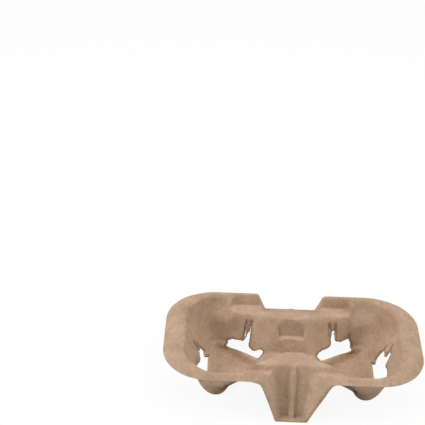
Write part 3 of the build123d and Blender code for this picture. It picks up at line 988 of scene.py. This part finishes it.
@dataclass(frozen=True)
class Tray:
    """The whole object: one sheet with its torn windows and its finish.

    An inset pair is how far from the middle the underside starts to draw in, and over what length.
    """

    sheet: Sheet = Sheet()
    tears: tuple[Tear, ...] = TEARS
    seed_step: int = 100
    pitch: float = 0.8
    least_wall: float = 1.5
    under_inset: float = 2.0
    cut_inset: float = 0.35
    inset_front: Pair = (26.0, 12.0)
    inset_back: Pair = (22.0, 8.0)
    roughness_upper: float = 0.10
    roughness_under: float = 0.24
    grains: tuple[tuple[float, Grain], ...] = (
        (0.55, Grain(7.0, 11)), (0.3, Grain(2.9, 12)), (0.25, Grain(1.3, 13)),
    )
    smooth_inset: float = 0.15
    smooth_edge: float = 0.9
    # The painted shade along the windows' edges: its width, search reach, and how far before and short of the
    # prism.
    dark_width: float = 1.7
    dark_reach: float = 32.0
    dark_before: float = 1.0
    dark_short: float = 4.0
    batch: int = 16
    sharp_angle: float = 58.0

    def build(self) -> bpy.types.Object:
        """Makes the sheet's mesh and cuts the windows into it.

        Returns:
            The tray as one closed object.
        """
        columns, rows = self._grid()
        upper = self._upper_points(columns, rows).reshape(-1, 3)
        under = self._under_points(columns, rows).reshape(-1, 3)
        mesh = make_mesh("pulp_sheet", np.vstack([upper, under]), self._faces(len(columns), len(rows)))
        inner = np.concatenate([np.ones(len(upper)), np.zeros(len(under))])
        set_attribute(mesh, "inner", inner)
        self._roughen(mesh, inner)
        # Marks where the finish paints shade along the windows' edges.
        self._mark_painted_edge_shade(mesh)
        return self._cut(add_object("pulp_sheet", mesh))

    def dress(self, tray: bpy.types.Object, finish: bpy.types.Material) -> None:
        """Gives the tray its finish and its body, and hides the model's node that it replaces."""
        tray.data.materials.clear()
        tray.data.materials.append(finish)
        tray.data.shade_smooth()
        tray.data.set_sharp_from_angle(angle=math.radians(self.sharp_angle))
        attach(tray, BODY)
        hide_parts(NODE)

    def _grid(self) -> tuple[Array, Array]:
        """Columns along the tray, closer round the ends' arcs, and rows as shares of the half width."""
        rim = self.sheet.rim
        straight = rim.half_length - rim.corner
        middle = np.linspace(-straight, straight, int(round(2 * straight / self.pitch)) + 1)
        steps = int(round(rim.corner * math.pi / 2.0 / self.pitch))
        arc = straight + rim.corner * np.sin(np.linspace(0.0, math.pi / 2.0, steps + 1)[1:])
        rows = np.linspace(-1.0, 1.0, int(round(2 * rim.half_width / self.pitch)) + 1)
        return np.concatenate([-arc[::-1], middle, arc]), rows

    def _upper_points(self, columns: Array, rows: Array) -> Array:
        """Points of the upper face: column x, row share times the outline's half width, and height."""
        x, share = np.meshgrid(columns, rows, indexing="ij")
        y = share * self.sheet.rim.half_width_at(columns)[:, None]
        return np.stack([x, y, self.sheet.height(x, y, Face.UPPER)], axis=-1)

    def _under_points(self, columns: Array, rows: Array) -> Array:
        """Points of the underside.

        Args:
            columns: The grid's columns.
            rows: The grid's rows.

        Returns:
            Points by column and row, drawn in from the outline except where chute and notch are open, and
            nowhere closer to the upper face than the least wall.
        """
        rim = self.sheet.rim
        x, share = np.meshgrid(columns * (1.0 - self.under_inset / rim.half_length), rows, indexing="ij")
        away = np.abs(columns)[:, None]
        front, back = (np.clip((away - start) / length, 0.0, 1.0)
                       for start, length in (self.inset_front, self.inset_back))
        inset = self.cut_inset + (self.under_inset - self.cut_inset) * np.where(share < 0.0, front, back)
        y = share * (rim.half_width_at(columns)[:, None] - inset)
        upper = self.sheet.height(x, y, Face.UPPER)
        under = np.minimum(self.sheet.height(x, y, Face.UNDER), upper - self.least_wall)
        return np.stack([x, y, np.maximum(under, 0.0)], axis=-1)

    @staticmethod
    def _faces(columns: int, rows: int) -> list[Array]:
        """Quads of both faces, and the strip round the outline that joins them."""
        index = np.arange(columns * rows).reshape(columns, rows)
        a, b, c, d = index[:-1, :-1], index[1:, :-1], index[1:, 1:], index[:-1, 1:]
        upper = np.stack([a, b, c, d], axis=-1).reshape(-1, 4)
        shift = columns * rows
        under = np.stack([a, d, c, b], axis=-1).reshape(-1, 4) + shift
        loop = np.concatenate([index[:, 0], index[-1, 1:], index[-2::-1, -1], index[0, -2:0:-1]])
        following = np.roll(loop, -1)
        strip = np.stack([loop, loop + shift, following + shift, following], axis=-1)
        return [upper, under, strip]

    def _roughen(self, mesh: bpy.types.Mesh, inner: Array) -> None:
        """Moves every vertex but the outline's along its normal by layered noise.

        Args:
            mesh: The sheet.
            inner: 1 for the upper face's vertices and 0 for the rougher underside's.
        """
        points = vertex_rows(mesh, "co") / MM
        wave = sum(share * grain.at(points) for share, grain in self.grains)
        amount = np.where(inner > 0.5, self.roughness_upper, self.roughness_under)
        moved = points + vertex_rows(mesh, "normal") * (wave * amount)[:, None]
        rim = self.sheet.rim
        over = rounded_rectangle(points[:, 0], points[:, 1], rim.half_length - self.smooth_inset,
                                 rim.half_width - self.smooth_inset, rim.corner)
        moved = np.where((over > -self.smooth_edge)[:, None], points, moved)
        moved[:, 2] = np.clip(moved[:, 2], 0.0, rim.crest)
        mesh.vertices.foreach_set("co", (moved * MM).astype(np.float32).ravel())
        mesh.update()

    def _mark_painted_edge_shade(self, mesh: bpy.types.Mesh) -> None:
        """Stores how near each vertex is to a torn edge, so that the finish can paint shade there.

        The distance is taken square to the prism, from the vertices beside the facet to the nearest point of
        the prism's outline. The painted shade falls from 1 to 0 over the width of the dark edge.

        Args:
            mesh: The sheet before its windows are cut.
        """
        points = vertex_rows(mesh, "co") / MM
        near = np.zeros(len(points))
        for number, tear in enumerate(self.tears):
            deepest = tear.far - tear.near - self.dark_short
            for ring, far in tear.prisms(self.seed_step * number):
                axis = (far - ring)[0] / np.linalg.norm((far - ring)[0])
                flat = points - np.outer(points @ axis, axis)
                line = ring - np.outer(ring @ axis, axis)
                close = np.abs(flat - line.mean(axis=0)).max(axis=1) < self.dark_reach
                depth = (points - ring[0]) @ axis
                picked = np.flatnonzero(close & (depth > -self.dark_before) & (depth < deepest))
                gap = np.full(len(picked), self.dark_reach)
                for part in np.array_split(line, max(1, len(line) // self.batch)):
                    apart = np.linalg.norm(flat[picked][:, None] - part[None], axis=2).min(axis=1)
                    gap = np.minimum(gap, apart)
                near[picked] = np.maximum(near[picked], np.clip(1.0 - gap / self.dark_width, 0.0, 1.0))
        # The share of painted shade that the finish puts near the windows' edges.
        set_attribute(mesh, "painted_edge_shade", near)

    def _cut(self, tray: bpy.types.Object) -> bpy.types.Object:
        """Cuts the openings and then the slits through the sheet.

        Returns:
            The same object with the cut mesh.
        """
        prisms = [tear.prisms(self.seed_step * number) for number, tear in enumerate(self.tears)]
        openings = [group[0] for group in prisms]
        slits = [slit for group in prisms for slit in group[1:]]
        cutters = [self._cutter(f"cutter_{k}", group) for k, group in enumerate((openings, slits))]
        for cutter in cutters:
            modifier = tray.modifiers.new(cutter.name, "BOOLEAN")
            modifier.operation = "DIFFERENCE"
            modifier.object = cutter
            modifier.solver = "MANIFOLD"
        depsgraph = bpy.context.evaluated_depsgraph_get()
        cut = bpy.data.meshes.new_from_object(tray.evaluated_get(depsgraph))
        tray.modifiers.clear()
        tray.data = cut
        for cutter in cutters:
            bpy.data.objects.remove(cutter)
        LOG.info("sheet cut: %d vertices, %d faces", len(cut.vertices), len(cut.polygons))
        return tray

    @staticmethod
    def _cutter(name: str, prisms: list[Ring]) -> bpy.types.Object:
        """One object of closed prisms, every vertex marked for full painted shade, taken on by the cut faces.
        """
        points, faces, start = [], [], 0
        for near, far in prisms:
            count = len(near)
            ring = np.arange(count) + start
            following = np.roll(ring, -1)
            sides = np.stack([ring, following, following + count, ring + count], axis=-1)
            points.extend([near, far])
            faces.extend([sides, ring[::-1][None], (ring + count)[None]])
            start += 2 * count
        mesh = make_mesh(name, np.vstack(points), faces)
        # Full painted shade on the prisms, which the windows' cut faces take on.
        set_attribute(mesh, "painted_edge_shade", np.ones(start))
        set_attribute(mesh, "inner", np.zeros(start))
        if sum(face.center.dot(face.normal) * face.area for face in mesh.polygons) < 0.0:
            mesh.flip_normals()
        return add_object(name, mesh)


@dataclass(frozen=True)
class Viewpoint:
    """Camera of the picture: focal length and the tray's pose before it, fitted to the tray's outline."""

    focal_pixels: float = 1085.08
    frame_pixels: float = 425.0
    sensor_mm: float = 36.0
    pitch: float = 34.089
    yaw: float = -1.144
    roll: float = 1.518
    distance: float = 935.64
    target_pixel: Pair = (289.33, 375.74)
    clip_metres: Pair = (0.02, 20.0)

    def build(self) -> bpy.types.Object:
        """Makes the camera and sets it as the scene's.

        It looks down by the pitch, turned by yaw and roll, from so far that the tray's origin falls on the
        target pixel.

        Returns:
            The camera.
        """
        pitch, yaw, roll = (math.radians(angle) for angle in (self.pitch, self.yaw, self.roll))
        ahead = Vector((0.0, math.cos(pitch), -math.sin(pitch)))
        level, upward = Vector((1.0, 0.0, 0.0)), Vector((0.0, math.sin(pitch), math.cos(pitch)))
        right = math.cos(roll) * level + math.sin(roll) * upward
        up = -math.sin(roll) * level + math.cos(roll) * upward
        across, down = ((pixel - self.frame_pixels / 2.0) / self.focal_pixels for pixel in self.target_pixel)
        offset = self.distance * MM * (ahead + right * across - up * down)
        turn = Matrix.Rotation(-yaw, 3, "Z")
        data = bpy.data.cameras.new("camera")
        data.sensor_width = self.sensor_mm
        data.lens = self.focal_pixels / self.frame_pixels * self.sensor_mm
        data.clip_start, data.clip_end = self.clip_metres
        camera = bpy.data.objects.new("camera", data)
        axes = Matrix((turn @ right, turn @ up, turn @ -ahead)).transposed()
        camera.matrix_world = Matrix.Translation(turn @ -offset) @ axes.to_4x4()
        bpy.context.scene.collection.objects.link(camera)
        bpy.context.scene.camera = camera
        return camera


@dataclass(frozen=True)
class Studio:
    """White floor and surroundings, with broad soft lamps: power in watts and place in metres each."""

    fill: float = 0.09
    lamps: tuple[tuple[float, Triple], ...] = (
        (17.5, (-1.2, -0.4, 0.9)), (13.2, (1.2, -0.2, 0.9)), (8.8, (0.0, -0.1, 1.5)), (4.0, (0.0, 1.1, 1.0)),
    )
    lamp_size: float = 1.0
    floor_half: float = 6000.0
    floor_below: float = 0.05
    floor_paint: Quad = (0.9, 0.9, 0.9, 1.0)
    floor_show: float = 0.09
    white: Quad = (1.0, 1.0, 1.0, 1.0)

    def build(self) -> None:
        """Makes the world, the floor and the lamps."""
        self._world()
        self._floor()
        for number, (power, place) in enumerate(self.lamps):
            self._lamp(f"lamp_{number}", power, place)

    def _world(self) -> None:
        """White to the camera, and an even fill of the given strength for light."""
        world = bpy.data.worlds.new("world")
        bpy.context.scene.world = world
        bench = Bench(world)
        light = bench.add("ShaderNodeBackground", {"Color": self.white, "Strength": self.fill})
        backdrop = bench.add("ShaderNodeBackground", {"Color": self.white})
        bench.add("ShaderNodeOutputWorld", {0: bench.mixed(bench.seen(), light, backdrop)})

    def _floor(self) -> None:
        """A wide level floor that is near white to the camera and keeps a light shadow."""
        corners = np.array([[-1.0, -1.0], [1.0, -1.0], [1.0, 1.0], [-1.0, 1.0]]) * self.floor_half
        corners = np.column_stack([corners, np.full(len(corners), -self.floor_below)])
        floor = add_object("floor", make_mesh("floor", corners, [np.array([[0, 1, 2, 3]])]))
        material = bpy.data.materials.new("floor_white")
        bench = Bench(material)
        paint = bench.add("ShaderNodeBsdfDiffuse", {"Color": self.floor_paint})
        glow = bench.add("ShaderNodeEmission", {"Strength": 1.0})
        share = bench.maths("MULTIPLY", bench.seen(), 1.0 - self.floor_show)
        bench.add("ShaderNodeOutputMaterial", {0: bench.mixed(share, paint, glow)})
        floor.data.materials.append(material)

    def _lamp(self, name: str, power: float, place: Triple) -> None:
        """A broad square lamp, aimed at the tray's middle."""
        data = bpy.data.lights.new(name, "AREA")
        data.shape = "SQUARE"
        data.size = self.lamp_size
        data.energy = power
        lamp = bpy.data.objects.new(name, data)
        lamp.location = place
        lamp.rotation_euler = (-Vector(place)).to_track_quat("-Z", "Y").to_euler()
        bpy.context.scene.collection.objects.link(lamp)


def main() -> None:
    """Imports the model, builds the camera, the studio, the tray and its finish, and hides the model's node.
    """
    logging.basicConfig(level=logging.INFO, format="%(name)s: %(message)s")
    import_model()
    Viewpoint().build()
    Studio().build()
    tray = Tray()
    piece = tray.build()
    tray.dress(piece, PulpFinish().build())
    bpy.context.scene.view_settings.view_transform = "Standard"


if __name__ == "__main__":
    main()
